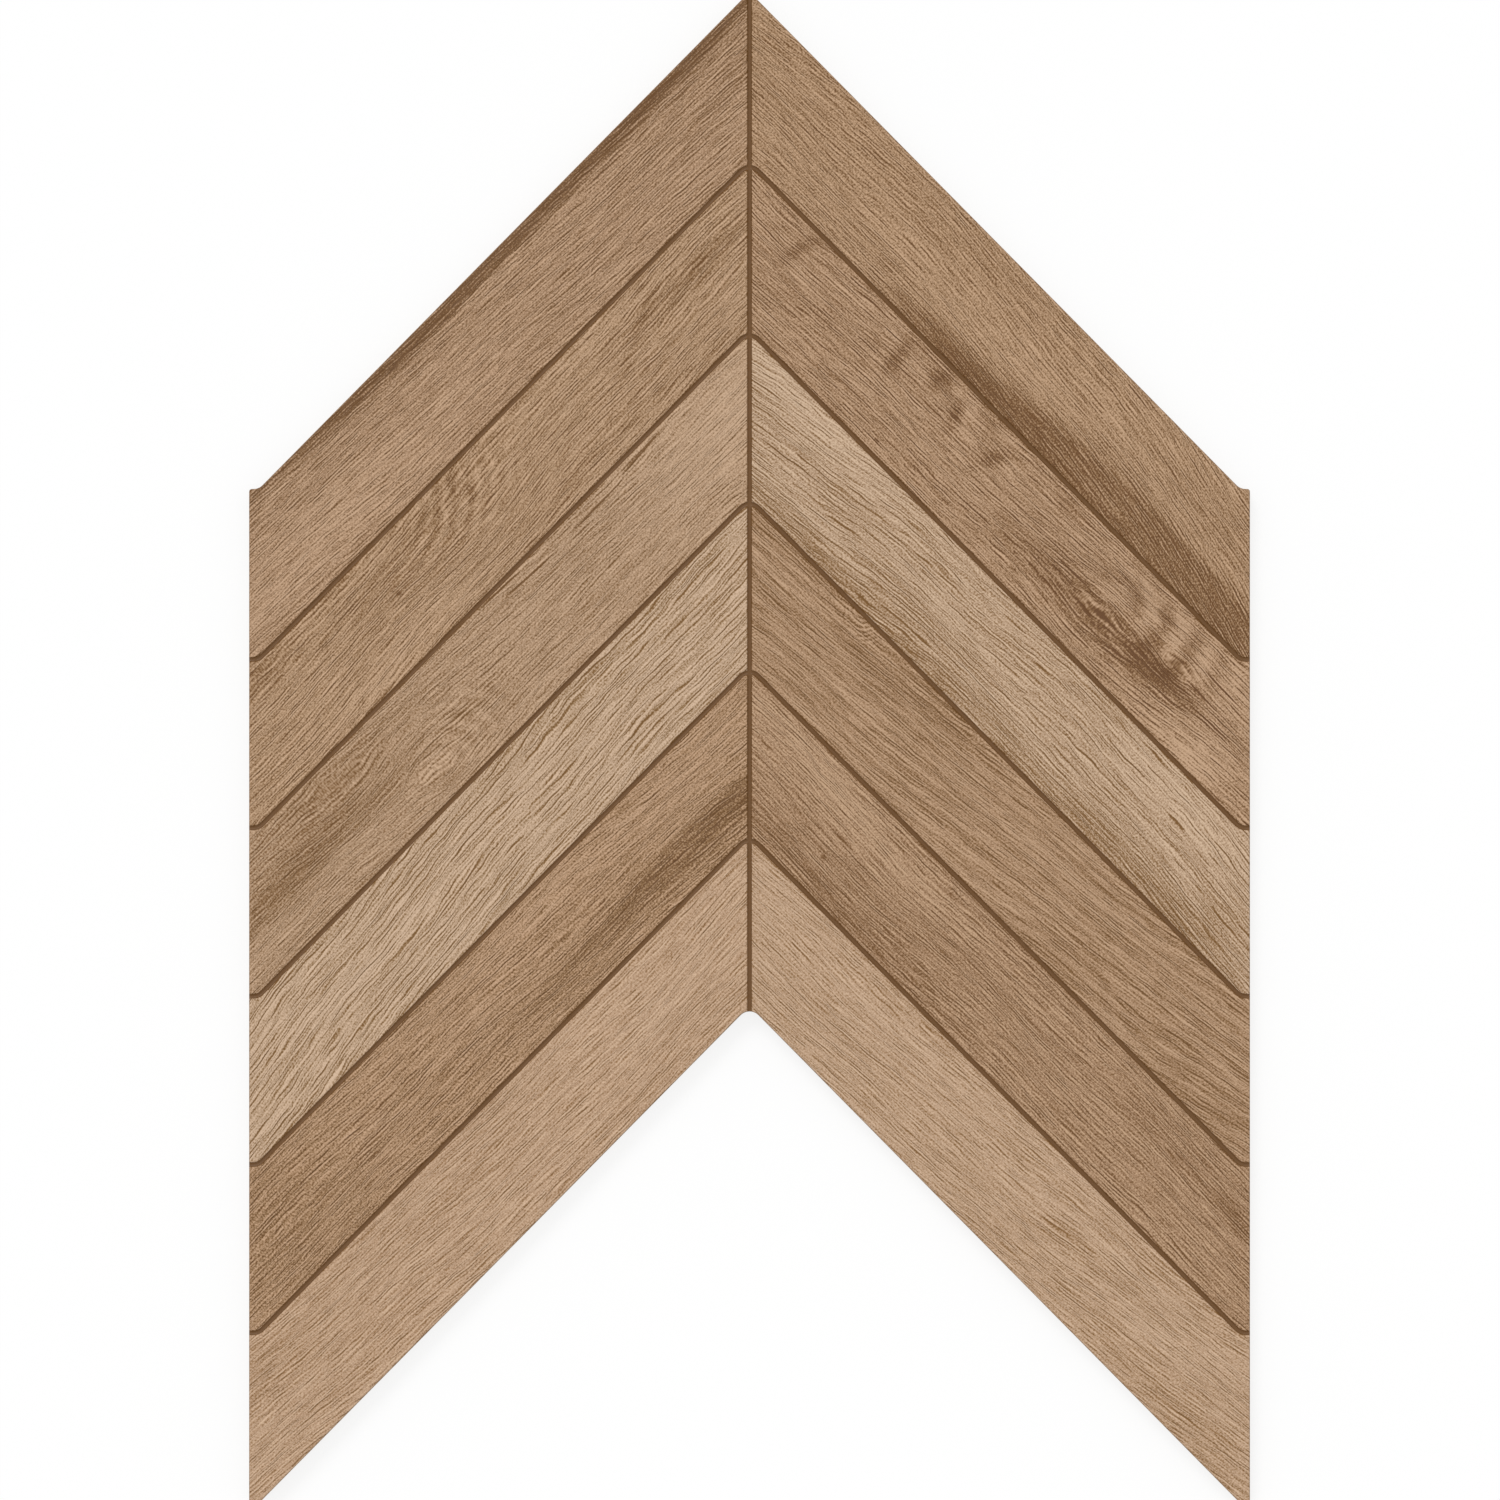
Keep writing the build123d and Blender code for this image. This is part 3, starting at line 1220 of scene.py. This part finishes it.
@dataclass
class KeyedBack:
    """The lattice of keying pockets in the back, repeated by a geometry tree."""

    sizes: TileSizes
    corners: int = 4

    @property
    def pitch_y(self) -> float:
        """Divides a column between the borders.

        Returns:
            The step from pocket to pocket down the column.
        """
        border = self.sizes.key_border * self.sizes.upright
        rib = self.sizes.key_rib * self.sizes.upright
        return (self.sizes.side_length - 2 * border + rib) / self.sizes.key_rows

    @property
    def reach_y(self) -> float:
        """From a pocket's middle to its upper corner."""
        return (self.pitch_y - self.sizes.key_rib * self.sizes.upright) / 2

    def tree(self, finish: Material) -> NodeTree:
        """Builds the tree that repeats the pocket.

        Args:
            finish: The back's finish.

        Returns:
            The geometry tree.
        """
        sizes = self.sizes
        slope = sizes.chevron_slope
        pitch_x = self.pitch_y / slope / 2
        reach_x = self.reach_y / slope
        limit = sizes.half_width - sizes.key_border
        columns = int(limit / pitch_x)
        inset = sizes.key_depth * tan(radians(sizes.key_draft))
        first_y = sizes.shoulder_y + sizes.sharp_rise - sizes.key_border * sizes.upright - self.reach_y
        named = {
            "Spread X": 2 * columns * pitch_x,
            "Spread Y": (sizes.key_rows - 1) * self.pitch_y,
            "Pocket Reach": reach_x,
            "Floor Reach": reach_x - inset * sizes.upright / slope,
            "Pocket Depth": sizes.key_depth,
            "Middle Y": first_y - (sizes.key_rows - 1) * self.pitch_y / 2,
            "Side Limit": limit,
        }
        tree, given = sized_tree("repeat_pockets", named)
        spread = {"Size X": given["Spread X"], "Size Y": given["Spread Y"]}
        counts = {"Vertices X": 2 * columns + 1, "Vertices Y": sizes.key_rows}
        lattice = add(tree, "GeometryNodeMeshGrid", {**spread, **counts})
        place = add(tree, SEPARATE, (add(tree, "GeometryNodeInputPosition"),))
        aside = add(tree, MATH, (place.outputs[0],), operation="ABSOLUTE")
        fall = add(tree, MATH, (aside, -slope, given["Middle Y"]), operation="MULTIPLY_ADD")
        stepped = add(tree, SET_POSITION, {"Geometry": lattice, "Offset": add(tree, COMBINE, {1: fall})})
        pocket = add(
            tree,
            "GeometryNodeMeshCone",
            {
                "Vertices": self.corners,
                "Radius Top": given["Floor Reach"],
                "Radius Bottom": given["Pocket Reach"],
                "Depth": given["Pocket Depth"],
            },
            fill_type="NGON",
        )
        mouth = {"Geometry": pocket, "Selection": pocket.outputs["Bottom"]}
        opened = add(tree, "GeometryNodeDeleteGeometry", mouth, mode="ONLY_FACE", domain="FACE")
        shaped = add(tree, "GeometryNodeTransform", {"Geometry": opened, "Scale": (1.0, slope, 1.0)})
        repeated = add(tree, "GeometryNodeInstanceOnPoints", {"Points": stepped, "Instance": shaped})
        real = add(tree, "GeometryNodeRealizeInstances", (repeated,))
        # The outermost columns stop at the border along the sides.
        now = add(tree, SEPARATE, (add(tree, "GeometryNodeInputPosition"),))
        height = add(tree, MATH, (now.outputs[2], -tan(radians(sizes.key_draft))), operation="MULTIPLY")
        edge = add(tree, MATH, (given["Side Limit"], height), operation="ADD")
        other = add(tree, MATH, (edge, -1.0), operation="MULTIPLY")
        kept_x = add(tree, "ShaderNodeClamp", (now.outputs[0], other, edge))
        kept = add(tree, COMBINE, (kept_x, now.outputs[1], now.outputs[2]))
        trimmed = add(tree, SET_POSITION, {"Geometry": real, "Position": kept})
        dressed = add(tree, SET_MATERIAL, {"Geometry": trimmed, "Material": finish})
        add(tree, "NodeGroupOutput", (dressed,))
        return tree

    def build(self, finish: Material) -> Mesh:
        """Repeats the pocket and returns the result as a plain mesh, open at the pockets' mouths.

        Args:
            finish: The back's finish.

        Returns:
            The pockets' mesh.
        """
        holder = in_scene("keyed_back", bpy.data.meshes.new("keyed_back"))
        return evaluated(holder, self.tree(finish))


def evaluated(holder: Object, tree: NodeTree) -> Mesh:
    """Runs a geometry tree on an object, keeps the result as a plain mesh and removes the object.

    Args:
        holder: The object that the tree works on.
        tree: The tree. Each float input is set to its own default.

    Returns:
        The plain mesh.
    """
    modifier = holder.modifiers.new(tree.name, "NODES")
    modifier.node_group = tree
    for socket in tree.interface.items_tree:
        if socket.in_out == "INPUT" and socket.socket_type == "NodeSocketFloat":
            modifier[socket.identifier] = socket.default_value
    graph = bpy.context.evaluated_depsgraph_get()
    worked = holder.evaluated_get(graph)
    result = bpy.data.meshes.new_from_object(worked, preserve_all_data_layers=True, depsgraph=graph)
    used = holder.data
    bpy.data.objects.remove(holder)
    bpy.data.meshes.remove(used)
    return result


@dataclass
class PorcelainTile:
    """The whole tile: its pressed face and walls, closed by the keyed back.

    Vertices closer than the weld become one. A wall that keeps within the edge of the head's or
    the foot's line belongs to that line. The sharp angle is in degrees.
    """

    sizes: TileSizes
    prints: tuple[WoodPrint, ...]
    wall_finish: FiredBody
    back_finish: FiredBody
    weld_mm: float = 0.01
    edge_mm: float = 0.01
    sharp_angle: float = 32.0

    # Shares of the map: the gap between its islands, the face's lower edge and one wall's strip
    map_gap: float = 0.004
    map_face_low: float = 0.26
    map_strip: float = 0.013

    def build(self) -> Object:
        """Makes the tile as one closed mesh that stands for the solid.

        Returns:
            The tile's object.
        """
        wall = self.wall_finish.material()
        back = self.back_finish.material()
        prints = [wood.material(self.sizes) for wood in self.prints]
        face = PressedFace(self.sizes).build(prints, wall)
        pockets = KeyedBack(self.sizes).build(back)
        tile = self.join(face, pockets, back)
        self.map_sheet(tile.data)
        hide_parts("porcelain_tile")
        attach(tile, "root")
        return tile

    def join(self, face: Mesh, pockets: Mesh, back: Material) -> Object:
        """Joins the face to the pockets and fills the back between them.

        Args:
            face: The pressed face with its walls.
            pockets: The keying pockets.
            back: The back's finish.

        Returns:
            The closed tile.
        """
        materials = [*face.materials, back]
        pocket_slot = len(materials) - 1
        form = bmesh.new()
        form.from_mesh(face)
        walls_and_face = len(form.faces)
        form.from_mesh(pockets)
        form.faces.ensure_lookup_table()
        for polygon in form.faces[walls_and_face:]:
            polygon.material_index = pocket_slot
        bmesh.ops.remove_doubles(form, verts=form.verts, dist=self.weld_mm * MM)
        open_edges = [edge for edge in form.edges if edge.is_boundary]
        filled = bmesh.ops.triangle_fill(form, edges=open_edges, use_beauty=True, normal=(0, 0, -1))
        for polygon in filled["geom"]:
            if isinstance(polygon, bmesh.types.BMFace):
                polygon.material_index = pocket_slot
        bmesh.ops.recalc_face_normals(form, faces=form.faces)
        still_open = sum(1 for edge in form.edges if not edge.is_manifold)
        LOG.info("tile: %d faces, %d open edges", len(form.faces), still_open)
        mesh = bpy.data.meshes.new("glazed_tile")
        form.to_mesh(mesh)
        form.free()
        for material in materials:
            mesh.materials.append(material)
        mesh.shade_smooth()
        mesh.set_sharp_from_angle(angle=radians(self.sharp_angle))
        return in_scene("glazed_tile", mesh)

    def map_sheet(self, mesh: Mesh) -> None:
        """Lays the tile out flat in its own map, with the face sheared square so that it fills it.

        Args:
            mesh: The closed tile.
        """
        sizes = self.sizes
        gap, face_low, strip = self.map_gap, self.map_face_low, self.map_strip
        walls = 4
        back_low = gap
        back_high = face_low - walls * (strip + gap) - gap
        layer = mesh.uv_layers.new(name="OFBake")
        places = mesh.attributes[SHEET].data
        back_slot = len(mesh.materials) - 1
        wall_slots = {i for i, m in enumerate(mesh.materials) if m.name == self.wall_finish.name}
        half_run = sizes.half_run
        length = sizes.side_length
        for polygon in mesh.polygons:
            corners = [(i, mesh.vertices[mesh.loops[i].vertex_index].co / MM) for i in polygon.loop_indices]
            flat = {i: places[mesh.loops[i].vertex_index].vector for i, _ in corners}
            if polygon.material_index == back_slot:
                left = sum(co.x for _, co in corners) < 0
                for i, co in corners:
                    drop = sizes.shoulder_y + sizes.sharp_rise - abs(co.x) * sizes.chevron_slope - co.y
                    u = drop / length * (0.5 - 1.5 * gap) + (gap if left else 0.5 + gap / 2)
                    v = back_low + abs(co.x) / sizes.half_width * (back_high - back_low)
                    layer.data[i].uv = (min(max(u, 0.0), 1.0), v)
            elif polygon.material_index in wall_slots:
                runs = [flat[i].x for i, _ in corners]
                drops = [flat[i].y for i, _ in corners]
                if max(drops) < self.edge_mm:
                    number, share = 0, [run / half_run / 2 + 0.5 for run in runs]
                elif min(drops) > length - self.edge_mm:
                    number, share = 1, [run / half_run / 2 + 0.5 for run in runs]
                else:
                    number, share = (2 if runs[0] < 0 else 3), [drop / length for drop in drops]
                low = face_low - (number + 1) * (strip + gap)
                for (i, co), along in zip(corners, share):
                    layer.data[i].uv = (gap + along * (1 - 2 * gap), low + co.z / sizes.thickness * strip)
            else:
                for i, _ in corners:
                    u = gap + (flat[i].x / half_run / 2 + 0.5) * (1 - 2 * gap)
                    v = 1 - gap - flat[i].y / length * (1 - gap - face_low)
                    layer.data[i].uv = (u, v)


def planks() -> tuple[WoodPrint, ...]:
    """Describes the twelve planks.

    Returns:
        Their prints, left arm first, from the head down.
    """
    left = Arm.LEFT
    right = Arm.RIGHT
    return (
        # Dark sapwood edge along the head, even grain below it
        WoodPrint(
            left, 0, 1.0, "#68410e", "#a37f5e", "#cda987", lean=0.05, wander=3.0,
            patches=(
                Patch(90, 27, 240, 9, 0.4, crisp=2.4), Patch(280, -9, 150, 18, -0.16),
                Patch(201, 22, 3, 1.2, 0.4),
                Patch(0, 6, 90, 18, 0.08), Patch(200, 24, 180, 12, 0.09), Patch(30, 21, 80, 7, 0.12),
            ),
        ),
        # Cathedral tip near the middle of its head edge, dense lines under it
        WoodPrint(
            left, 1, 2.0, "#6a420f", "#a68360", "#cfab89", bow=-0.0001, pore_share=0.65,
            knots=(Knot(212, 31, 16, 2.6),),
            figures=(Figure(178, 12, 46, 24, 0.16, 5.4, 214, 34, 1.5, 4.0),),
            patches=(
                Patch(20, 9, 60, 9, 0.16), Patch(62, 9, 42, 4.5, 0.15, -0.42), Patch(215, 10, 60, 10, 0.14),
                Patch(220, -19, 90, 8, -0.12),
                Patch(217, 1.5, 1.6, 1.2, 0.9), Patch(110, -17, 60, 6, 0.1), Patch(290, 20, 34, 8, 0.16),
                Patch(164, 13, 5, 9, 0.24, -0.35), Patch(184, 17, 22, 5, 0.14),
            ),
        ),
        # Pale at the spine, a curl two thirds of the way out, cracks along the head edge
        WoodPrint(
            left, 2, 3.0, "#6f4814", "#a98766", "#d0ae8d", lean=0.02, fibre_contrast=0.8, pore_depth=0.4,
            knots=(Knot(238, 16, 9, 2.6), Knot(206, -10, 6, 1.6, 1.7)),
            figures=(
                Figure(186, -6, 40, 20, 0.11, 5.2, 207, -11, 1.5, 3.0),
                Figure(206, -9, 13, 7, -0.12, 1.9, 190, 6),
            ),
            patches=(
                Patch(207, -18, 12, 5, 0.16), Patch(203, -7, 11, 5, -0.1),
                Patch(0, 2, 95, 45, -0.24), Patch(282, 1, 85, 11, 0.3), Patch(250, 15, 75, 11, 0.16),
                Patch(140, -18, 60, 9, -0.1), Patch(45, 22.5, 16, 0.6, 0.7, crisp=2),
                Patch(78, 21, 18, 0.6, 0.7, crisp=2),
                Patch(118, 20, 20, 0.6, 0.7, crisp=2), Patch(132, 24, 14, 0.5, 0.7, crisp=2),
            ),
        ),
        # Pale, with strong wavy lines
        WoodPrint(
            left, 3, 4.0, "#79521e", "#b79879", "#dbbc9e", lean=-0.02, bow=-0.0002, pore_share=0.8,
            ring_pitch=4.0, ring_contrast=0.1, ripple=1.2, fibre_length=34.0, fibre_contrast=1.2,
            pore_length=60.0, pore_spacing=2.2, pore_depth=0.64, dash_length=18.0, pore_width=0.5, level=0.565,
            patches=(Patch(60, 22, 120, 12, 0.1), Patch(245, 1, 90, 7, -0.12), Patch(26, 9, 50, 8, 0.11)),
        ),
        # Heartwood streak from the spine along the lower half
        WoodPrint(
            left, 4, 5.0, "#68410e", "#a37f5b", "#cba684", lean=0.07, bow=-0.00012, grit_contrast=0.95,
            patches=(
                Patch(20, -11, 170, 8, 0.26, crisp=1.8), Patch(90, 15, 160, 14, -0.11),
                Patch(290, 0, 60, 30, 0.1),
                Patch(70, -20, 120, 6, 0.14), Patch(10, -10, 50, 7, 0.12),
            ),
        ),
        # Light and calm
        WoodPrint(
            left, 5, 6.0, "#835b2a", "#b99676", "#d9b898", lean=-0.03, bow=0.0002, pore_depth=0.42,
            fibre_contrast=0.88, grit_contrast=0.7, level=0.56,
            patches=(Patch(60, 2, 110, 20, -0.06), Patch(290, 12, 60, 14, 0.09), Patch(195, 8, 65, 6, 0.07)),
        ),
        # Mottled, with a dark wedge that widens towards the side
        WoodPrint(
            right, 0, 7.0, "#673f0d", "#a3805d", "#cda986", lean=0.09, bow=-0.0005, grit_contrast=0.9,
            fibre_contrast=0.95,
            patches=(
                Patch(310, -27, 215, 22, 0.28, crisp=4), Patch(175, 3, 60, 12, -0.1),
                Patch(120, -2, 100, 10, -0.05), Patch(165, -21, 75, 8, 0.15),
            ),
        ),
        # Bars across its head edge, an eye and a knot near the side
        WoodPrint(
            right, 1, 8.0, "#633b0a", "#a37f5d", "#cda987", lean=0.04, pore_depth=0.58, fibre_contrast=1.1,
            knots=(Knot(222, -4.5, 6, 2.2, 1.35), Knot(264, 4, 6.5, 1.4, 1.15)),
            figures=(
                Figure(250, 12, 48, 22, 0.25, 13.5, 222, 6, 1.15, 3.4),
                Figure(110, 20, 60, 16, 0.16, 18, 60, -20, 1.3, 2.4),
            ),
            patches=(
                Patch(60, 0, 50, 6, 0.1), Patch(226, -8, 78, 11, 0.34), Patch(259, -3, 27, 10, 0.36),
                Patch(296, -19, 30, 14, -0.28), Patch(290, 16, 40, 12, -0.16), Patch(262, 5.5, 6, 2, 0.4),
                Patch(222, -5, 9, 2.5, 0.06), Patch(284, 12, 12, 0.6, 0.8, crisp=2),
                Patch(280, 2.2, 11, 0.6, 0.8, crisp=2),
                Patch(294, -4.2, 11, 0.6, 0.7, 0.07, 2), Patch(203, -0.6, 14, 0.6, 0.7, crisp=2),
                Patch(192, 3, 12, 0.5, 0.6, crisp=2),
                Patch(100, -21, 1.8, 1.2, 0.7), Patch(16, 15, 4.5, 15, 0.28, -0.2),
                Patch(80, 15, 5, 16, 0.34, 0.15),
                Patch(100, 18, 6, 12, 0.28), Patch(116, 13, 4.5, 15, 0.32, 0.3),
                Patch(143, 14, 5, 16, 0.32, -0.5), Patch(182, 20, 14, 7, 0.2),
            ),
        ),
        # The palest plank, strong wavy lines over a brown foot edge
        WoodPrint(
            right, 2, 9.0, "#78511d", "#b49475", "#dbbd9e", lean=0.18, bow=-0.00045, pore_share=0.7,
            ring_pitch=4.5, ring_contrast=0.06, ripple=1.1, fibre_length=30.0,
            pore_length=55.0, pore_spacing=2.0, pore_depth=0.56, dash_length=14.0, level=0.56,
            patches=(
                Patch(20, 19, 70, 10, -0.2), Patch(180, -22, 220, 12, 0.2), Patch(285, -20, 90, 12, 0.12),
                Patch(110, -9, 45, 8, 0.14), Patch(265, 14, 70, 14, -0.13), Patch(55, -20, 70, 7, 0.14),
                Patch(302, -8, 26, 8, 0.16),
            ),
        ),
        # Rings that cross it at a slant
        WoodPrint(
            right, 3, 10.0, "#6c4612", "#a4805e", "#c8a583", lean=0.09, bow=0.0001, ring_pitch=7.0,
            ring_contrast=0.2, fibre_contrast=1.05,
            figures=(Figure(48, 23, 14, 7, -0.4, 1.8, 44, 30),),
            patches=(Patch(105, 20, 35, 8, 0.17), Patch(65, 9, 35, 7, 0.1), Patch(305, -20, 40, 10, 0.14)),
        ),
        # Darker towards the foot edge, one dark blot at the side
        WoodPrint(
            right, 4, 11.0, "#68410e", "#a07c5b", "#caa784", lean=0.02,
            patches=(
                Patch(40, 14, 110, 14, -0.19), Patch(60, -20, 110, 10, 0.2), Patch(300, 9, 25, 8, 0.22),
                Patch(90, -7, 60, 8, 0.11), Patch(56, -9, 2.2, 1.6, 0.5), Patch(262, 9, 62, 8, 0.13),
                Patch(135, 0, 70, 6, 0.07),
            ),
        ),
        # Light and calm, a few darker lines beyond the middle
        WoodPrint(
            right, 5, 12.0, "#835b2a", "#ba9878", "#d9b99a", lean=0.03, bow=0.0002, pore_depth=0.44,
            fibre_contrast=0.92, grit_contrast=0.7, level=0.56,
            patches=(Patch(275, -18, 75, 11, 0.16), Patch(195, 3, 24, 6, 0.1), Patch(90, 8, 90, 16, -0.05)),
        ),
    )


def shown_as_background(tree: NodeTree) -> Node:
    """Finds the rays that show the background itself, seen straight, mirrored or through glass.

    Args:
        tree: The tree that asks.

    Returns:
        The node that is 1 for such a ray.
    """
    path = add(tree, "ShaderNodeLightPath").outputs
    seen = add(tree, MATH, (path["Is Camera Ray"], path["Is Glossy Ray"]), operation="MAXIMUM")
    return add(tree, MATH, (seen, path["Is Transmission Ray"]), operation="MAXIMUM")


@dataclass
class Studio:
    """A plain white floor, soft light from all round and a camera that looks straight down.

    The reach and the sight are in metres. The frame, its middle, the lens, the sensor and the gap
    under the tile are in millimetres.
    """

    sizes: TileSizes
    paper: str = "#f4f4f4"
    light: str = "#ffffff"
    paper_glow: float = 1.06
    paper_glow_share: float = 0.75
    floor_reach: float = 6.0
    floor_gap: float = 0.2
    world_level: float = 0.7
    lamp_level: float = 0.28
    lamp_spread: float = 25.0
    lamp_aim: tuple[float, float, float] = (0.35, -0.8, -0.9)
    frame: float = 659.3
    frame_middle: tuple[float, float] = (0.2, 0.1)
    lens: float = 200.0
    sensor: float = 36.0
    sight: float = 50.0

    def build(self) -> None:
        """Sets out the floor, the lights and the camera."""
        self.floor()
        self.lights()
        self.camera()

    def floor(self) -> None:
        """Lays a floor of matt white paper, which has no sheen and still takes the tile's shadow."""
        half = self.floor_reach
        low = -self.floor_gap * MM
        corners = [(-half, -half, low), (half, -half, low), (half, half, low), (-half, half, low)]
        mesh = bpy.data.meshes.new("studio_floor")
        mesh.from_pydata(corners, [], [(0, 1, 2, 3)])
        floor = in_scene("studio_floor", mesh)
        made = bare_material("white_paper_sweep")
        tree = made.node_tree
        paper = add(tree, "ShaderNodeBsdfDiffuse", {"Color": linear(self.paper)})
        glow = add(tree, "ShaderNodeEmission", {"Color": linear(self.light), "Strength": self.paper_glow})
        part = add(tree, MATH, (shown_as_background(tree), self.paper_glow_share), operation="MULTIPLY")
        mixed = add(tree, "ShaderNodeMixShader", (part, paper, glow))
        add(tree, MATERIAL_OUTPUT, {"Surface": mixed})
        mesh.materials.append(made)

    def lights(self) -> None:
        """Lights the tile evenly, a little more from one side so that the relief reads."""
        world = bpy.data.worlds.new("soft_room")
        world.use_nodes = True
        tree = world.node_tree
        tree.nodes.clear()
        level = add(tree, MAP_RANGE, {0: shown_as_background(tree), 3: self.world_level, 4: 1.0})
        room = add(tree, "ShaderNodeBackground", {"Color": linear(self.light), "Strength": level})
        add(tree, "ShaderNodeOutputWorld", {"Surface": room})
        bpy.context.scene.world = world
        lamp = bpy.data.lights.new("soft_window", "SUN")
        lamp.energy = self.lamp_level * pi
        lamp.angle = radians(self.lamp_spread)
        sun = in_scene("soft_window", lamp)
        sun.rotation_euler = Vector(self.lamp_aim).to_track_quat("-Z", "Y").to_euler()

    def camera(self) -> None:
        """Stands a long lens over the tile's middle, framed as in the photograph."""
        data = bpy.data.cameras.new("overhead")
        data.lens = self.lens
        data.sensor_width = self.sensor
        data.clip_end = self.sight
        camera = in_scene("overhead", data)
        distance = self.frame * self.lens / self.sensor
        x, y = self.frame_middle
        camera.location = (x * MM, y * MM, (distance + self.sizes.thickness) * MM)
        bpy.context.scene.camera = camera


def main() -> None:
    """Builds the tile and the studio."""
    logging.basicConfig(level=logging.INFO, format="%(name)s: %(message)s")
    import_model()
    sizes = TileSizes()
    wall = FiredBody("fired_stoneware_wall", base="#b5a48f", speck="#8d7b66", roughness=0.8)
    back = FiredBody("washed_stoneware_back", base="#beb3a4", speck="#9a8b79", roughness=0.85)
    tile = PorcelainTile(sizes, planks(), wall, back).build()
    LOG.info("built %s", tile.name)
    Studio(sizes).build()
    LOG.info("built studio")
    bpy.context.scene.view_settings.view_transform = "Standard"


if __name__ == "__main__":
    main()
